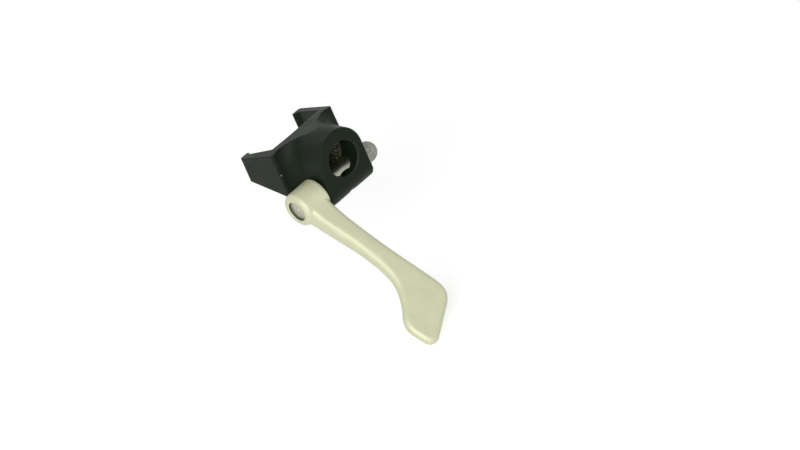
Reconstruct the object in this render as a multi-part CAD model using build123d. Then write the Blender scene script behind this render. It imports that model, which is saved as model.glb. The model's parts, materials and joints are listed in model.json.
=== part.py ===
from build123d import *

import math
import os

# Quick-release cam lever for a bicycle rim-brake adapter: housing, cam shaft, lever and ring.
#
# Frame: millimetres. The origin is on the stud bore's axis, at the shoulder where the wide
# entry bore meets the stud's head seat. -Y points out of the bore's mouth, +X runs along the
# cam shaft away from the lever, and +Z is the outer side of the housing.

# ---- stud bore ---------------------------------------------------------------------------
entry_diameter = 9.3
entry_depth = 8.0
seat_diameter = 8.8
seat_depth = 4.8
mouth_chamfer = 0.3

# ---- boss around the bore ----------------------------------------------------------------
boss_radius = 7.05
boss_arc_height = 0.9
lever_side = 7.9
lever_side_height = -4.4
boss_edge_radius = 0.45
boss_top_length = 6.0
boss_flare_radius = 4.0

# ---- cam shaft ---------------------------------------------------------------------------
cam_diameter = 6.4
running_clearance = 0.04
cam_behind_mouth = 4.9
cam_below_bore = 5.9
cam_notch_clearance = 0.15
open_angle = 125.0
far_end_diameter = 5.4
far_end_length = 5.7
centre_mark_diameter = 0.9
centre_mark_depth = 0.4
axial_play = 0.1

# ---- retaining ring ----------------------------------------------------------------------
ring_diameter = 7.4
ring_thickness = 0.8
ring_groove_diameter = 4.7
ring_groove_clearance = 0.05
ring_gap = 3.0

# ---- barrel round the cam shaft ----------------------------------------------------------
barrel_radius = 4.9
barrel_ramp_angle = 45.0
barrel_mark_width = 2.6
barrel_mark_depth = 0.3
barrel_mark_turn = 32.0

# ---- wing plate and cradle arms ----------------------------------------------------------
cradle_floor = 6.8
cradle_floor_hollow = 0.3
cradle_width = 17.0
arm_thickness = 2.5
arm_draft = 0.75
arm_end = 18.2
arm_root = 4.3
plate_half_height = 6.3
arm_tip_half_height = 3.3
lip_height = 0.95
lip_ramp = 1.35
lip_land = 0.8
arm_corner_radius = 0.8
lip_edge_radius = 0.2

# ---- lever -------------------------------------------------------------------------------
hub_diameter = 9.1
hub_length = 7.8
hub_rounding = 1.2
hub_inner_rounding = 0.4
hub_bore_diameter = 5.4
press_clearance = 0.01
shaft_recess = 0.9
lever_angle = 44.0
lever_length = 48.0
lever_bow = 1.5
lever_edge_radius = 1.3
paddle_half_width = 8.0
paddle_corner_radius = 5.0
paddle_tip_radius = 2.4
# lever seen flat: shares of lever_length along it and of paddle_half_width across it
outer_edge_shares = [
    (0, 0.4), (0.073, 0.369), (0.198, 0.287), (0.365, 0.138),
    (0.49, 0.075), (0.635, 0.15), (0.719, 0.406), (0.792, 0.775),
]
inner_edge_shares = [
    (0, 0.45), (0.083, 0.425), (0.219, 0.425), (0.344, 0.494),
    (0.479, 0.606), (0.598, 0.744), (0.76, 0.95),
]
outer_corner_shares = (0.844, 1.019)
tip_corner_shares = (1.027, 0.738)
inner_corner_shares = (0.85, 1.02)
# lever seen from its side: shares of lever_length along it and of hub_diameter through it
lever_thickness_shares = [
    (0, 0.92), (0.1, 0.615), (0.23, 0.54), (0.35, 0.48),
    (0.5, 0.42), (0.67, 0.35), (0.83, 0.32), (1.04, 0.31),
]

# ---- modelling ---------------------------------------------------------------------------
# cutters run this far past what they cut, and edges this close to a place count as lying there
cut_past = 1.0
near = 0.1

# ---- worked out --------------------------------------------------------------------------
mouth_y = -entry_depth
cam_y = mouth_y + cam_behind_mouth
cam_z = -cam_below_bore
cam_hole_radius = cam_diameter / 2 + running_clearance
hub_inner_x = -lever_side - axial_play
hub_outer_x = hub_inner_x - hub_length
hub_middle_x = (hub_inner_x + hub_outer_x) / 2
arm_outer_x = cradle_width / 2 + arm_thickness
wing_fillet = arm_outer_x - boss_radius


def cylinder_along_x(radius, x_from, x_to, y, z):
    plane = Plane(origin=(x_from, y, z), x_dir=(0, 1, 0), z_dir=(1, 0, 0))
    return extrude(plane * Circle(radius), x_to - x_from)


def cylinder_along_y(radius, y_from, y_to):
    plane = Plane(origin=(0, y_from, 0), x_dir=(1, 0, 0), z_dir=(0, 1, 0))
    return extrude(plane * Circle(radius), y_to - y_from)


def boss_and_plate():
    """Boss seen from the mouth, pulled back into a wide plate, with a swept hollow blend."""
    low = cam_z - barrel_radius - wing_fillet
    arc_left = (-boss_radius, boss_arc_height)
    arc_right = (boss_radius, boss_arc_height)
    flare_end = (-lever_side, lever_side_height)
    view = Plane(origin=(0, mouth_y, 0), x_dir=(1, 0, 0), z_dir=(0, -1, 0))
    with BuildSketch(view) as outline:
        with BuildLine():
            ThreePointArc(arc_left, (0, boss_arc_height + boss_radius), arc_right)
            Polyline(arc_right, (boss_radius, low), (-lever_side, low), flare_end, arc_left)
        make_face()
        for corner in (arc_left, flare_end):
            fillet(outline.vertices().sort_by_distance(corner)[0], boss_flare_radius)
    boss = extrude(outline.sketch, -(cradle_floor - mouth_y))
    boss = fillet(boss.faces().sort_by(Axis.Y)[0].edges(), boss_edge_radius)
    plate_depth = cradle_floor - arm_root
    plate_width = 6 * arm_outer_x
    plate_height = 8 * plate_half_height
    body = boss + Pos(0, arm_root + plate_depth / 2, 0) * Box(plate_width, plate_depth, plate_height)
    joins = [
        edge
        for edge in body.edges()
        if abs(edge.center().Y - arm_root) < near
        and abs(edge.center().X) < arm_outer_x
        and abs(edge.center().Z) < plate_height / 3
    ]
    return fillet(joins, wing_fillet)


def boss_side_view():
    """Boss seen along the cam shaft: flat front, barrel below, ramp up to the plate."""
    turn = math.radians(barrel_ramp_angle)
    ramp_y = cam_y + barrel_radius * math.sin(turn)
    ramp_z = cam_z - barrel_radius * math.cos(turn)
    ramp_run = (-plate_half_height - ramp_z) / math.tan(turn)
    half_turn = (turn - math.pi / 2) / 2
    arc_middle = (cam_y + barrel_radius * math.sin(half_turn), cam_z - barrel_radius * math.cos(half_turn))
    top = boss_arc_height + boss_radius
    with BuildSketch(Plane.YZ) as outline:
        with BuildLine():
            ThreePointArc((mouth_y, cam_z), arc_middle, (ramp_y, ramp_z))
            Polyline(
                (ramp_y, ramp_z),
                (ramp_y + ramp_run, -plate_half_height),
                (cradle_floor, -plate_half_height),
                (cradle_floor, plate_half_height),
                (mouth_y + boss_top_length, top),
                (mouth_y, top),
                (mouth_y, cam_z),
            )
        make_face()
    return extrude(outline.sketch, arm_outer_x, both=True)


def plate_plan():
    """Plate seen from above: full width at the front, cut to the cradle's corners behind."""
    inner = cradle_width / 2
    with BuildSketch() as plan:
        with BuildLine():
            Polyline(
                (-arm_outer_x, mouth_y),
                (arm_outer_x, mouth_y),
                (arm_outer_x, arm_root),
                (inner, cradle_floor),
                (-inner, cradle_floor),
                (-arm_outer_x, arm_root),
                (-arm_outer_x, mouth_y),
            )
        make_face()
    return extrude(plan.sketch, cradle_width, both=True)


def above_knee(side):
    """Everything above the facet that brings the boss's sloping top down to the arm's corner."""
    inner = Vector(side * cradle_width / 2, cradle_floor, plate_half_height)
    outer = Vector(side * arm_outer_x, arm_root, plate_half_height)
    slope = (boss_arc_height + boss_radius - plate_half_height) / (cradle_floor - mouth_y - boss_top_length)
    front = Vector(side * cradle_width / 2, arm_root, plate_half_height + slope * (cradle_floor - arm_root))
    normal = (outer - inner).cross(front - inner)
    if normal.Z < 0:
        normal = -normal
    facet = Plane(origin=inner, x_dir=outer - inner, z_dir=normal)
    side_length = 4 * cradle_width
    standing = (Align.CENTER, Align.CENTER, Align.MIN)
    return facet * Box(side_length, side_length, side_length, align=standing)


def cradle_arm(side):
    """One arm of the cradle, drawn out from the plate's corner to the tip, with its snap lip."""
    inner = cradle_width / 2
    tip_inner = inner + arm_draft
    lip_start = arm_end - lip_land - lip_ramp
    start_inner = inner + arm_draft * (lip_start - cradle_floor) / (arm_end - cradle_floor)

    def section(inner_corner, outer_corner, half_height):
        corners = [
            (side * x, y, z)
            for (x, y), z in (
                (inner_corner, -half_height),
                (outer_corner, -half_height),
                (outer_corner, half_height),
                (inner_corner, half_height),
            )
        ]
        return Face(Wire.make_polygon(corners, close=True))

    root = section((inner, cradle_floor), (arm_outer_x, arm_root), plate_half_height)
    tip = section((tip_inner, arm_end), (arm_outer_x, arm_end), arm_tip_half_height)
    arm = loft([root, tip], ruled=True)
    with BuildSketch() as plan:
        with BuildLine():
            Polyline(
                (side * tip_inner, arm_end),
                (side * (tip_inner - lip_height), arm_end),
                (side * (tip_inner - lip_height), arm_end - lip_land),
                (side * start_inner, lip_start),
                (side * tip_inner, arm_end),
            )
        make_face()
    with BuildSketch(Plane.YZ) as taper:
        with BuildLine():
            Polyline(
                (cradle_floor, -plate_half_height),
                (arm_end, -arm_tip_half_height),
                (arm_end, arm_tip_half_height),
                (cradle_floor, plate_half_height),
                (cradle_floor, -plate_half_height),
            )
        make_face()
    lip = extrude(plan.sketch, plate_half_height, both=True) & extrude(taper.sketch, arm_outer_x, both=True)
    return arm + lip


def floor_hollow():
    """Large vertical cylinder that dishes the cradle's floor."""
    half = cradle_width / 2
    radius = (half**2 + cradle_floor_hollow**2) / (2 * cradle_floor_hollow)
    centre_y = cradle_floor - cradle_floor_hollow + radius
    half_height = plate_half_height + cut_past
    cutter = extrude(Plane(origin=(0, centre_y, 0)) * Circle(radius), half_height, both=True)
    window = Box(cradle_width, 2 * cradle_floor_hollow, 2 * half_height)
    return cutter & Pos(0, cradle_floor, 0) * window


def bore_cut():
    entry = cylinder_along_y(entry_diameter / 2, mouth_y - cut_past, 0)
    seat = cylinder_along_y(seat_diameter / 2, -cut_past, seat_depth)
    mouth_plane = Plane(origin=(0, mouth_y, 0), x_dir=(1, 0, 0), z_dir=(0, 1, 0))
    mouth = extrude(mouth_plane * Circle(entry_diameter / 2 + mouth_chamfer), mouth_chamfer, taper=45)
    return entry + seat + mouth


def barrel_mark():
    """Shallow dimple across the barrel's lower front."""
    radius = (barrel_mark_width**2 / 4 + barrel_mark_depth**2) / (2 * barrel_mark_depth)
    turn = math.radians(barrel_mark_turn)
    reach = barrel_radius - barrel_mark_depth + radius
    centre = (0, cam_y - reach * math.sin(turn), cam_z - reach * math.cos(turn))
    around = (0, math.cos(turn), -math.sin(turn))
    return extrude(Plane(origin=centre, z_dir=around) * Circle(radius), barrel_radius, both=True)


def edge_rounds(solid):
    """Upright rounds of the housing: the arms' outer corners, fore and aft, and the lips."""
    lip_x = cradle_width / 2 + arm_draft - lip_height

    def round_where(radius, test):
        return fillet([edge for edge in solid.edges() if test(edge, edge.center())], radius)

    def upright(edge):
        return abs(edge.tangent_at(0.5).Z) > 0.9

    def arm_corner(edge, middle):
        on_face = upright(edge) and abs(abs(middle.X) - arm_outer_x) < 2 * near
        return on_face and middle.Y > arm_root - 3 * near

    def lip_corner(edge, middle):
        return upright(edge) and abs(abs(middle.X) - lip_x) < near and middle.Y > cradle_floor

    solid = round_where(arm_corner_radius, arm_corner)
    return round_where(lip_edge_radius, lip_corner)


def make_housing():
    housing = boss_and_plate() & boss_side_view() & plate_plan()
    for side in (-1, 1):
        housing -= above_knee(side)
        housing += cradle_arm(side)
    housing -= floor_hollow()
    housing -= bore_cut()
    hole_from = -lever_side - cut_past
    hole_to = boss_radius + cut_past
    housing -= cylinder_along_x(cam_hole_radius, hole_from, hole_to, cam_y, cam_z)
    return edge_rounds(housing) - barrel_mark()


def notch_cutter():
    """Bore-sized cut that clears the bore once the lever has turned by open_angle."""
    radius = entry_diameter / 2 + cam_notch_clearance
    cutter = cylinder_along_y(radius, mouth_y - cam_diameter, seat_depth + cam_diameter)
    pivot = Axis((0, cam_y, cam_z), (1, 0, 0))
    return cutter.rotate(pivot, open_angle)


def make_cam_shaft():
    shoulder_x = boss_radius - axial_play / 2
    lever_end = hub_outer_x + shaft_recess
    far_end = boss_radius + far_end_length
    shaft = cylinder_along_x(cam_diameter / 2, hub_inner_x, shoulder_x, cam_y, cam_z)
    shaft += cylinder_along_x(hub_bore_diameter / 2 - press_clearance, lever_end, hub_inner_x, cam_y, cam_z)
    dome = far_end_diameter / 2
    shaft += cylinder_along_x(dome, shoulder_x, far_end - dome, cam_y, cam_z)
    shaft += Pos(far_end - dome, cam_y, cam_z) * Rot(0, 90, 0) * Sphere(dome)
    shaft -= notch_cutter()
    groove_from = boss_radius + axial_play / 2
    groove_to = groove_from + ring_thickness + ring_groove_clearance
    groove = cylinder_along_x(cam_diameter, groove_from, groove_to, cam_y, cam_z)
    groove -= cylinder_along_x(ring_groove_diameter / 2, groove_from, groove_to, cam_y, cam_z)
    shaft -= groove
    mark_plane = Plane(origin=(lever_end, cam_y, cam_z), x_dir=(0, 1, 0), z_dir=(1, 0, 0))
    return shaft - extrude(mark_plane * Circle(centre_mark_diameter / 2), centre_mark_depth, taper=45)


def make_retaining_ring():
    start = boss_radius + axial_play / 2
    inner = ring_groove_diameter / 2 + ring_groove_clearance
    ring = cylinder_along_x(ring_diameter / 2, start, start + ring_thickness, cam_y, cam_z)
    ring -= cylinder_along_x(inner, start, start + ring_thickness, cam_y, cam_z)
    gap = Pos(start + ring_thickness / 2, cam_y, cam_z - ring_diameter / 2)
    return ring - gap * Box(2 * ring_thickness, ring_gap, ring_diameter)


def lever_point(shares, side=1):
    along, across = shares
    return (hub_middle_x + side * across * paddle_half_width, -along * lever_length)


def lever_plan():
    """Arm and paddle seen from above, with the lever lying along -Y from its hub."""
    outer = [lever_point(shares, -1) for shares in outer_edge_shares]
    inner = [lever_point(shares) for shares in inner_edge_shares]
    corners = [
        lever_point(outer_corner_shares, -1),
        lever_point(tip_corner_shares, -1),
        lever_point(inner_corner_shares),
    ]
    radii = [paddle_corner_radius, paddle_tip_radius, paddle_corner_radius]
    with BuildSketch() as plan:
        with BuildLine():
            Spline(*outer)
            Polyline(outer[-1], *corners, inner[-1])
            Spline(*inner)
            Line(inner[0], outer[0])
        make_face()
        for corner, radius in zip(corners, radii):
            fillet(plan.vertices().sort_by_distance(corner)[0], radius)
    return extrude(plan.sketch, hub_diameter, both=True)


def lever_side_shape():
    """Arm seen along the hub: bowed centre line, thickness falling towards the paddle."""

    def bow(share):
        return lever_bow * math.sin(math.pi * share)

    def edge(sign):
        half = hub_diameter / 2
        return [
            (-share * lever_length, bow(share) + sign * thick * half)
            for share, thick in lever_thickness_shares
        ]

    top = edge(1)
    bottom = edge(-1)
    with BuildSketch(Plane.YZ) as outline:
        with BuildLine():
            Spline(*top)
            Line(top[-1], bottom[-1])
            Spline(*bottom)
            Line(bottom[0], top[0])
        make_face()
    return Pos(hub_middle_x, 0, 0) * extrude(outline.sketch, 2 * paddle_half_width, both=True)


def make_lever():
    arm = lever_plan() & lever_side_shape()
    past_hub = [edge for edge in arm.edges() if edge.center().Y < -lever_edge_radius / 2]
    arm = fillet([edge for edge in past_hub if abs(edge.tangent_at(0.5).Z) < 0.7], lever_edge_radius)
    hub = cylinder_along_x(hub_diameter / 2, hub_outer_x, hub_inner_x, 0, 0)
    hub = fillet(hub.edges().filter_by(GeomType.CIRCLE).sort_by(Axis.X)[0], hub_rounding)
    hub = fillet(hub.edges().filter_by(GeomType.CIRCLE).sort_by(Axis.X)[-1], hub_inner_rounding)
    lever = hub + arm
    lever -= cylinder_along_x(hub_bore_diameter / 2, hub_outer_x - cut_past, hub_inner_x + cut_past, 0, 0)
    lever = lever.rotate(Axis.X, lever_angle)
    return Pos(0, cam_y, cam_z) * lever


parts = {
    "adapter_housing": make_housing(),
    "cam_lever": make_lever(),
    "cam_shaft": make_cam_shaft(),
    "retaining_ring": make_retaining_ring(),
}

os.makedirs("parts", exist_ok=True)
for name, part in parts.items():
    export_step(part, f"parts/{name}.step")
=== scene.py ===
"""Looks for the quick-release cam lever: materials, floor, lights and the photograph's camera."""

import json
import math

import bpy
from mathutils import Matrix, Vector


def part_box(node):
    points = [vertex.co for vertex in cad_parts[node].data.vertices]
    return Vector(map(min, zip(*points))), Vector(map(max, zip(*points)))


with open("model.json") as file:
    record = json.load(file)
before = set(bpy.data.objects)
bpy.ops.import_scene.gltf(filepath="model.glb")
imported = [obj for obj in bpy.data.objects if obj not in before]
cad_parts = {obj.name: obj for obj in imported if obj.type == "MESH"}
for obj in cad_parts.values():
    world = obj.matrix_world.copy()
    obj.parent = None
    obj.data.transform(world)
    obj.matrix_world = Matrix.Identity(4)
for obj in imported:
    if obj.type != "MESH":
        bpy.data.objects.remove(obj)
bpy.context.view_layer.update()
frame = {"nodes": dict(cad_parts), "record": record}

MM = 0.001
WHITE = (1, 1, 1, 1)

# ---- places and sizes, mostly taken from the frame ---------------------------------------------
mouth_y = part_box("adapter_housing")[0][1]
lever_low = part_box("cam_lever")[0]
shaft_left_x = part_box("cam_shaft")[0][0]
ring_left_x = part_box("retaining_ring")[0][0]
socket = next(m for m in frame["record"]["mounts"] if m["name"] == "stud_socket")
seat_radius = socket["dims"]["r_mm"] * MM
seat_depth = socket["dims"]["length_mm"] * MM
entry_wider_by = 0.25 * MM
bore_radius = seat_radius + entry_wider_by
pivot = next(j for j in frame["record"]["behaviour"]["joints"] if j["name"] == "cam_pivot")
pivot_y = pivot["pos_m"][1]
pivot_z = pivot["pos_m"][2]
hub_reach = 4.6 * MM
hub_low_z = pivot_z - hub_reach


# ---- small helper for node trees -----------------------------------------------------------------
class Tree:
    """The node tree of a material or world, with one short call per node."""

    def __init__(self, owner):
        self.owner = owner
        owner.use_nodes = True
        self.nodes = owner.node_tree.nodes
        self.links = owner.node_tree.links
        self.nodes.clear()

    def add(self, kind, settings=None, **inputs):
        node = self.nodes.new(kind)
        for key, value in (settings or {}).items():
            setattr(node, key, value)
        for key, value in inputs.items():
            self.put(node.inputs[key.replace("_", " ")], value)
        return node

    def put(self, socket_in, value):
        if isinstance(value, bpy.types.NodeSocket):
            self.links.new(value, socket_in)
        else:
            socket_in.default_value = value

    def put_all(self, node, values):
        for socket_in, value in zip(node.inputs, values):
            self.put(socket_in, value)

    def math(self, operation, first, second=0.0):
        node = self.add("ShaderNodeMath", {"operation": operation})
        self.put_all(node, (first, second))
        return node.outputs[0]

    def product(self, first, second):
        return self.math("MULTIPLY", first, second)

    def ramp(self, value, start, end, low=0.0, high=1.0):
        """low where value is at start, high where it is at end, and in between a straight line."""
        node = self.add("ShaderNodeMapRange", {"clamp": True})
        self.put_all(node, (value, start, end, low, high))
        return node.outputs[0]

    def between(self, value, low, high, soft):
        """1 where value lies between low and high, fading over soft at both ends."""
        rise = self.ramp(value, low - soft, low + soft)
        fall = self.ramp(value, high + soft, high - soft)
        return self.product(rise, fall)

    def mix(self, factor, first, second):
        node = self.add("ShaderNodeMix", {"data_type": "RGBA"})
        factor_in, first_in, second_in = node.inputs[0], node.inputs[6], node.inputs[7]
        self.put(factor_in, factor)
        self.put(first_in, first)
        self.put(second_in, second)
        return node.outputs[2]

    def place(self):
        """Object coordinates: metres in the part's own frame."""
        return self.add("ShaderNodeTexCoord").outputs["Object"]

    def axes(self, place):
        return self.add("ShaderNodeSeparateXYZ", Vector=place).outputs

    def length(self, first, second):
        """The length of a flat vector, from its two components."""
        squares = self.math("ADD", self.product(first, first), self.product(second, second))
        return self.math("SQRT", squares)

    def noise(self, place, size, detail=3.0, roughness=0.5, stretch=None):
        """Noise whose features are about `size` metres across."""
        if stretch:
            place = self.add("ShaderNodeMapping", Vector=place, Scale=stretch).outputs[0]
        node = self.add(
            "ShaderNodeTexNoise",
            Vector=place,
            Scale=1 / size,
            Detail=detail,
            Roughness=roughness,
        )
        return node.outputs["Fac"]

    def vary(self, cloud, low, high):
        """low to high over the middle of a noise, where most of its values lie."""
        return self.ramp(cloud, 0.3, 0.7, low, high)

    def rounded(self, radius, samples):
        """Normals shaded as if every edge were rounded to the radius."""
        return self.add("ShaderNodeBevel", {"samples": samples}, Radius=radius).outputs[0]

    def edge(self, radius):
        """1 on sharp convex and concave edges, 0 on flat ground."""
        true_normal = self.add("ShaderNodeNewGeometry").outputs["True Normal"]
        dot = self.add("ShaderNodeVectorMath", {"operation": "DOT_PRODUCT"})
        self.put_all(dot, (self.rounded(radius, 6), true_normal))
        return self.ramp(dot.outputs["Value"], 0.995, 0.90)

    def seen(self):
        """1 for rays from the camera, a mirror or glass, and 0 for those that only carry light."""
        path = self.add("ShaderNodeLightPath").outputs
        seen = self.math("MAXIMUM", path["Is Camera Ray"], path["Is Glossy Ray"])
        return self.math("MAXIMUM", seen, path["Is Transmission Ray"])

    def finish(self, **inputs):
        """Ends the tree in one Principled surface and returns the material."""
        surface = self.add("ShaderNodeBsdfPrincipled", **inputs)
        self.add("ShaderNodeOutputMaterial", Surface=surface.outputs["BSDF"])
        return self.owner


# ---- materials -----------------------------------------------------------------------------------
def housing_black():
    """Satin black coating, with specks of bare metal and painted glints in the seat, and one nick on
    the near arm.
    """
    deep_black = (0.0062, 0.0112, 0.0056, 1)
    pale_black = (0.0100, 0.0156, 0.0092, 1)
    worn_coating = (0.05, 0.05, 0.045, 1)
    bare_metal_with_glint = (0.56, 0.57, 0.36, 1)
    rim_grey = (0.13, 0.14, 0.125, 1)
    nick_metal = (0.24, 0.24, 0.20, 1)
    wear_share = 0.4
    rim_share = 0.11
    nick_place = (-10.7 * MM, 4.4 * MM, 0.34 * MM)

    tree = Tree(bpy.data.materials.new("housing_black"))
    place = tree.place()
    x, y, z = tree.axes(place)
    cloud = tree.noise(place, 4 * MM, detail=4)
    grain = tree.noise(place, 0.12 * MM, detail=2)
    colour = tree.mix(cloud, deep_black, pale_black)

    # coating worn thin along the edges, in patches
    patches = tree.ramp(tree.noise(place, 0.7 * MM, detail=5), 0.45, 0.75)
    wear = tree.product(tree.edge(0.25 * MM), patches)
    colour = tree.mix(tree.product(wear, wear_share), colour, worn_coating)

    # the seat's wall, deep in the bore, has lost its coating in specks; their glints are painted in
    # as a bright colour
    from_axis = tree.length(x, z)
    in_bore = tree.ramp(from_axis, bore_radius + 0.2 * MM, bore_radius + 0.1 * MM)
    deep = tree.between(y, mouth_y + 6.1 * MM, seat_depth + 0.1 * MM, 0.15 * MM)
    specks = tree.ramp(tree.noise(place, 0.27 * MM, detail=3, roughness=0.7), 0.52, 0.63)
    bare_with_glints = tree.product(tree.product(in_bore, deep), specks)
    colour = tree.mix(bare_with_glints, colour, bare_metal_with_glint)

    # a paler line round the bore's mouth
    at_mouth = tree.ramp(y, mouth_y + 0.33 * MM, mouth_y + 0.25 * MM)
    at_rim = tree.ramp(from_axis, bore_radius + 0.36 * MM, bore_radius + 0.28 * MM)
    rim = tree.product(at_mouth, at_rim)
    colour = tree.mix(tree.product(rim, rim_share), colour, rim_grey)

    # one small nick through the coating, on the near arm's root
    apart = tree.add("ShaderNodeVectorMath", {"operation": "DISTANCE"})
    tree.put_all(apart, (place, nick_place))
    nick = tree.ramp(apart.outputs["Value"], 0.26 * MM, 0.12 * MM)
    colour = tree.mix(nick, colour, nick_metal)

    bump = tree.add(
        "ShaderNodeBump",
        Strength=0.12,
        Distance=0.02 * MM,
        Height=grain,
        Normal=tree.rounded(0.45 * MM, 8),
    )
    return tree.finish(
        Base_Color=colour,
        Roughness=tree.vary(cloud, 0.42, 0.52),
        Specular_IOR_Level=0.11,
        Specular_Tint=(0.86, 1.0, 0.84, 1),
        Normal=bump.outputs[0],
    )


def lever_satin():
    """Pale champagne satin metal, with painted shade in the hub's recess."""
    greener = (0.59, 0.62, 0.385, 1)
    paler = (0.73, 0.735, 0.52, 1)
    recess_shade_colour = (0.025, 0.03, 0.022, 1)
    recess_shade_share = 0.93

    tree = Tree(bpy.data.materials.new("lever_satin"))
    place = tree.place()
    x, y, z = tree.axes(place)
    cloud = tree.noise(place, 4 * MM, detail=4)
    grain = tree.noise(place, 0.10 * MM, detail=2)
    colour = tree.mix(cloud, greener, paler)

    # painted shade on the wall of the hub's recess, round the shaft's end
    from_pivot = tree.length(
        tree.math("SUBTRACT", y, pivot_y),
        tree.math("SUBTRACT", z, pivot_z),
    )
    in_recess = tree.ramp(from_pivot, 2.85 * MM, 2.75 * MM)
    below_lip = tree.ramp(x, shaft_left_x - 0.80 * MM, shaft_left_x - 0.64 * MM)
    recess_shade = tree.product(tree.product(in_recess, below_lip), recess_shade_share)
    colour = tree.mix(recess_shade, colour, recess_shade_colour)

    # edges are shaded rounder up the stem, and sharper again at the hub
    stem_from_z = lever_low[2] + 8 * MM
    stem_to_z = lever_low[2] + 22 * MM
    stem_rounding = tree.ramp(z, stem_from_z, stem_to_z, 0.6 * MM, 2.0 * MM)
    hub_rounding = tree.ramp(z, hub_low_z - 1 * MM, hub_low_z + 1 * MM, 1.0, 0.3)
    rounding = tree.product(stem_rounding, hub_rounding)
    bump = tree.add(
        "ShaderNodeBump",
        Strength=0.10,
        Distance=0.01 * MM,
        Height=grain,
        Normal=tree.rounded(rounding, 12),
    )
    return tree.finish(
        Base_Color=colour,
        Roughness=tree.vary(cloud, 0.47, 0.57),
        Metallic=0.2,
        Specular_IOR_Level=0.7,
        Normal=bump.outputs[0],
    )


def shaft_steel():
    """Bright turned steel in the bore, and duller, mottled steel at both open ends."""
    bright_dark = (0.34, 0.35, 0.27, 1)
    bright_pale = (0.47, 0.48, 0.37, 1)
    dull_dark = (0.20, 0.21, 0.165, 1)
    dull_pale = (0.42, 0.43, 0.35, 1)
    worn_dark = (0.46, 0.47, 0.37, 1)
    worn_pale = (0.62, 0.63, 0.50, 1)

    tree = Tree(bpy.data.materials.new("shaft_steel"))
    place = tree.place()
    x = tree.axes(place)[0]
    far_end = tree.ramp(x, ring_left_x - 0.2 * MM, ring_left_x + 0.2 * MM)
    hub_end = tree.ramp(x, shaft_left_x + 1.2 * MM, shaft_left_x + 0.8 * MM)
    outside = tree.math("MAXIMUM", far_end, hub_end)

    turning = tree.noise(place, 0.5 * MM, detail=4, stretch=(12, 1, 1))
    cloud = tree.noise(place, 1.5 * MM, detail=3)
    mottle = tree.ramp(tree.noise(place, 0.45 * MM, detail=5, roughness=0.65), 0.40, 0.62)
    bright = tree.mix(cloud, bright_dark, bright_pale)
    dull = tree.mix(mottle, dull_dark, dull_pale)
    worn = tree.mix(mottle, worn_dark, worn_pale)
    colour = tree.mix(hub_end, tree.mix(far_end, bright, dull), worn)

    polished = tree.vary(turning, 0.30, 0.40)
    bump = tree.add(
        "ShaderNodeBump",
        Strength=0.15,
        Distance=0.008 * MM,
        Height=turning,
        Normal=tree.rounded(0.15 * MM, 6),
    )
    return tree.finish(
        Base_Color=colour,
        Roughness=tree.math("ADD", polished, tree.product(outside, 0.25)),
        Metallic=tree.ramp(outside, 0.0, 1.0, 1.0, 0.6),
        Normal=bump.outputs[0],
    )


def ring_steel():
    """Plain spring steel."""
    dark = (0.26, 0.26, 0.26, 1)
    pale = (0.36, 0.36, 0.35, 1)

    tree = Tree(bpy.data.materials.new("ring_steel"))
    cloud = tree.noise(tree.place(), 0.6 * MM, detail=4)
    bump = tree.add("ShaderNodeBump", Strength=0.1, Distance=0.01 * MM, Height=cloud)
    return tree.finish(
        Base_Color=tree.mix(cloud, dark, pale),
        Roughness=tree.vary(cloud, 0.28, 0.42),
        Metallic=1.0,
        Normal=bump.outputs[0],
    )


finishes = {
    "adapter_housing": housing_black(),
    "cam_lever": lever_satin(),
    "cam_shaft": shaft_steel(),
    "retaining_ring": ring_steel(),
}
for node_name, finish in finishes.items():
    for slot in frame["nodes"][node_name].material_slots:
        slot.material = finish

# ---- floor, under the lever's tip ----------------------------------------------------------------
floor_size = 4.0
floor_glow = 0.55

bpy.ops.mesh.primitive_plane_add(size=floor_size, location=(0, 0, lever_low[2]))
floor = bpy.context.active_object
floor.name = "floor"
floor_tree = Tree(bpy.data.materials.new("floor_pale"))
paper = floor_tree.noise(floor_tree.place(), 3 * MM, detail=3)
floor_finish = floor_tree.finish(
    Base_Color=floor_tree.mix(paper, (0.88, 0.88, 0.88, 1), (0.92, 0.92, 0.92, 1)),
    Roughness=0.9,
    Emission_Color=WHITE,
    Emission_Strength=floor_tree.product(floor_tree.seen(), floor_glow),
)
floor.data.materials.append(floor_finish)

# ---- world: dim white light, and a full white backdrop where it is seen ----------------------------
ambient_strength = 0.28
backdrop_strength = 1.0

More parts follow.
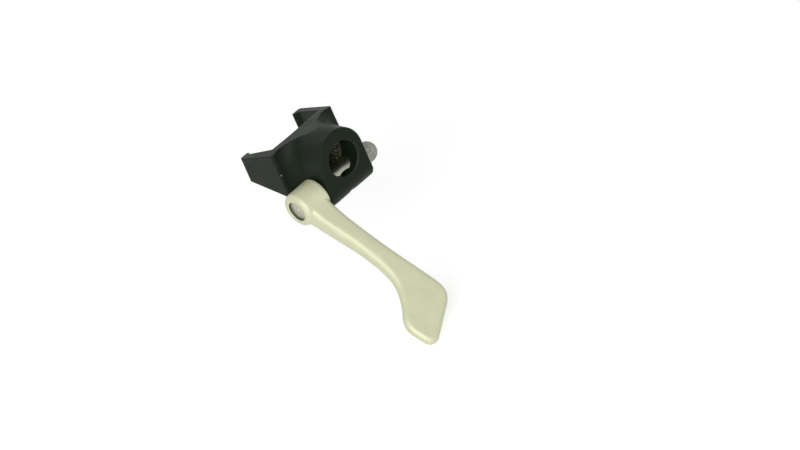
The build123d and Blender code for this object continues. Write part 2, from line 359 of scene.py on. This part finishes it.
world = bpy.data.worlds.new("studio")
bpy.context.scene.world = world
sky = Tree(world)
ambient = sky.add("ShaderNodeBackground", Color=WHITE, Strength=ambient_strength)
backdrop = sky.add("ShaderNodeBackground", Color=WHITE, Strength=backdrop_strength)
chooser = sky.add("ShaderNodeMixShader")
sky.put_all(chooser, (sky.seen(), ambient.outputs[0], backdrop.outputs[0]))
sky.add("ShaderNodeOutputWorld", Surface=chooser.outputs[0])

# ---- camera, at the photograph's viewing angle -----------------------------------------------------
view_turn = math.radians(33.08)
view_rise = math.radians(27.74)
view_roll = math.radians(-23.89)
view_distance = 4.8
view_width = 196.6 * MM
aim_right = 13.81 * MM
aim_down = 16.32 * MM

level_right = Vector((math.cos(view_turn), -math.sin(view_turn), 0))
towards_camera = Vector(
    (
        -math.sin(view_turn) * math.cos(view_rise),
        -math.cos(view_turn) * math.cos(view_rise),
        math.sin(view_rise),
    )
)
level_up = towards_camera.cross(level_right)
right = math.cos(view_roll) * level_right + math.sin(view_roll) * level_up
up = towards_camera.cross(right)
mouth = Vector((0, mouth_y, 0))
aim = mouth + aim_right * right - aim_down * up

camera_data = bpy.data.cameras.new("camera")
camera_data.sensor_width = 36.0
camera_data.lens = camera_data.sensor_width * view_distance / view_width
camera_data.clip_start = 0.05
camera_data.clip_end = 20.0
camera = bpy.data.objects.new("camera", camera_data)
turn = Matrix((right, up, towards_camera)).transposed().to_4x4()
camera.matrix_world = Matrix.Translation(aim + view_distance * towards_camera) @ turn
bpy.context.scene.collection.objects.link(camera)
bpy.context.scene.camera = camera


# ---- lamps -----------------------------------------------------------------------------------------
def softbox(name, direction, distance, size, power):
    """A square lamp of that size, facing the part's middle from that direction and distance."""
    middle = Vector((0, 0, -10 * MM))
    lamp_data = bpy.data.lights.new(name, "AREA")
    lamp_data.shape = "SQUARE"
    lamp_data.size = size
    lamp_data.energy = power
    lamp = bpy.data.objects.new(name, lamp_data)
    offset = Vector(direction).normalized() * distance
    lamp.location = middle + offset
    lamp.rotation_euler = offset.to_track_quat("Z", "Y").to_euler()
    bpy.context.scene.collection.objects.link(lamp)


softbox("key", (-0.76, -0.68, 0.44), distance=0.6, size=0.45, power=2.62)
softbox("fill", (0.7, -0.8, 0.3), distance=0.7, size=0.5, power=0.15)
softbox("back", (0.1, 0.9, 0.6), distance=0.7, size=0.4, power=0.4)

bpy.context.scene.view_settings.view_transform = "Standard"
